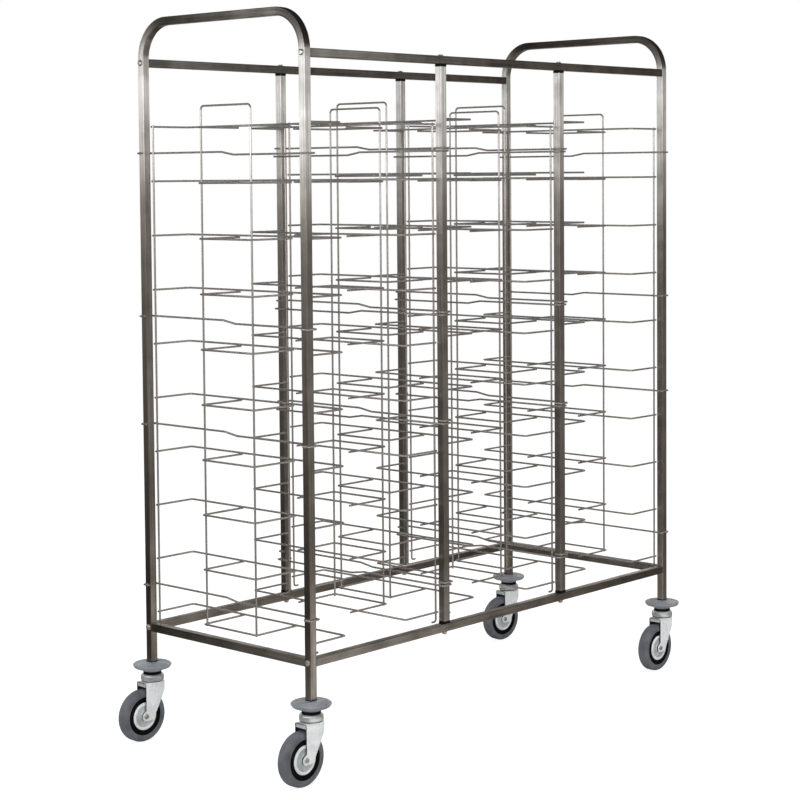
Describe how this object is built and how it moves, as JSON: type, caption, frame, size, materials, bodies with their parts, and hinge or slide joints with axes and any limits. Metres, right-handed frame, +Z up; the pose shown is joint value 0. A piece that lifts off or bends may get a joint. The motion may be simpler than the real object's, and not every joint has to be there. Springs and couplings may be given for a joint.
{
  "type": "tray rack trolley",
  "caption": "Open frame trolley of square stainless tube with bays of wire ledges for trays, push handles at both ends and swivel casters with round bumpers.",
  "frame": {"origin": "centre of the footprint of the whole trolley, casters included, on the floor", "axes": "+X along the length from the left end frame to the right one, +Y from the front to the rear, +Z up"},
  "size_m": [1.554, 0.6556, 1.7883],
  "materials": {
    "frame_tube": "fine brushed stainless",
    "wire": "bright drawn stainless",
    "frame_bolt": "satin",
    "plug_steel": "satin",
    "black_plastic": "matte",
    "bearing_steel": "turned",
    "bumper_grey": "satin",
    "zinc_sheet": "bright zinc plated",
    "axle_steel": "zinc plated",
    "core_black": "matte",
    "tyre_grey": "matte, non-marking rubber"
  },
  "bodies": {
    "rack": {"left_end_frame": "frame_tube", "right_end_frame": "frame_tube", "left_bottom_rail": "frame_tube", "right_bottom_rail": "frame_tube", "front_top_rail": "frame_tube", "front_bottom_rail": "frame_tube", "rear_top_rail": "frame_tube", "rear_bottom_rail": "frame_tube", "rail_end_plugs": "plug_steel", "rail_bolts": "frame_bolt", "post_caps": "black_plastic", "post_bolts": "frame_bolt", "front_left_mid_post": "frame_tube", "front_right_mid_post": "frame_tube", "rear_left_mid_post": "frame_tube", "rear_right_mid_post": "frame_tube", "bay_1_left_panel": "wire", "bay_1_right_panel": "wire", "bay_2_left_panel": "wire", "bay_2_right_panel": "wire", "bay_3_left_panel": "wire", "bay_3_right_panel": "wire", "caster_expanders": "black_plastic", "caster_stems": "bearing_steel", "bumper_spacers": "black_plastic", "swivel_seals": "black_plastic", "swivel_races": "bearing_steel", "front_left_bumper": "bumper_grey", "front_left_cup": "zinc_sheet", "rear_left_bumper": "bumper_grey", "rear_left_cup": "zinc_sheet", "rear_right_bumper": "bumper_grey", "rear_right_cup": "zinc_sheet", "front_right_bumper": "bumper_grey", "front_right_cup": "zinc_sheet"},
    "swivel_front_left": {"front_left_fork": "zinc_sheet", "front_left_axle": "axle_steel", "front_left_bush": "axle_steel"},
    "wheel_front_left": {"front_left_wheel_core": "core_black", "front_left_hub_discs": "zinc_sheet", "front_left_tyre": "tyre_grey"},
    "swivel_rear_left": {"rear_left_fork": "zinc_sheet", "rear_left_axle": "axle_steel", "rear_left_bush": "axle_steel"},
    "wheel_rear_left": {"rear_left_wheel_core": "core_black", "rear_left_hub_discs": "zinc_sheet", "rear_left_tyre": "tyre_grey"},
    "swivel_rear_right": {"rear_right_fork": "zinc_sheet", "rear_right_axle": "axle_steel", "rear_right_bush": "axle_steel"},
    "wheel_rear_right": {"rear_right_wheel_core": "core_black", "rear_right_hub_discs": "zinc_sheet", "rear_right_tyre": "tyre_grey"},
    "swivel_front_right": {"front_right_fork": "zinc_sheet", "front_right_axle": "axle_steel", "front_right_bush": "axle_steel"},
    "wheel_front_right": {"front_right_wheel_core": "core_black", "front_right_hub_discs": "zinc_sheet", "front_right_tyre": "tyre_grey"}
  },
  "joints": [
    {"name": "front_left_swivel", "type": "hinge", "parent": "rack", "child": "swivel_front_left", "pos_m": [-0.67778, -0.28, 0.146], "axis": [0, 0, 1], "continuous": true},
    {"name": "front_left_roll", "type": "hinge", "parent": "swivel_front_left", "child": "wheel_front_left", "pos_m": [-0.71278, -0.2797, 0.064], "axis": [0.0087, 1, 0], "continuous": true},
    {"name": "rear_left_swivel", "type": "hinge", "parent": "rack", "child": "swivel_rear_left", "pos_m": [-0.67778, 0.28, 0.146], "axis": [0, 0, 1], "continuous": true},
    {"name": "rear_left_roll", "type": "hinge", "parent": "swivel_rear_left", "child": "wheel_rear_left", "pos_m": [-0.71273, 0.28183, 0.064], "axis": [0.0523, 0.9986, 0], "continuous": true},
    {"name": "rear_right_swivel", "type": "hinge", "parent": "rack", "child": "swivel_rear_right", "pos_m": [0.72922, 0.28, 0.146], "axis": [0, 0, 1], "continuous": true},
    {"name": "rear_right_roll", "type": "hinge", "parent": "swivel_rear_right", "child": "wheel_rear_right", "pos_m": [0.69441, 0.28366, 0.064], "axis": [0.1045, 0.9945, 0], "continuous": true},
    {"name": "front_right_swivel", "type": "hinge", "parent": "rack", "child": "swivel_front_right", "pos_m": [0.72922, -0.28, 0.146], "axis": [0, 0, 1], "continuous": true},
    {"name": "front_right_roll", "type": "hinge", "parent": "swivel_front_right", "child": "wheel_front_right", "pos_m": [0.69422, -0.2797, 0.064], "axis": [0.0087, 1, 0], "continuous": true}
  ]
}
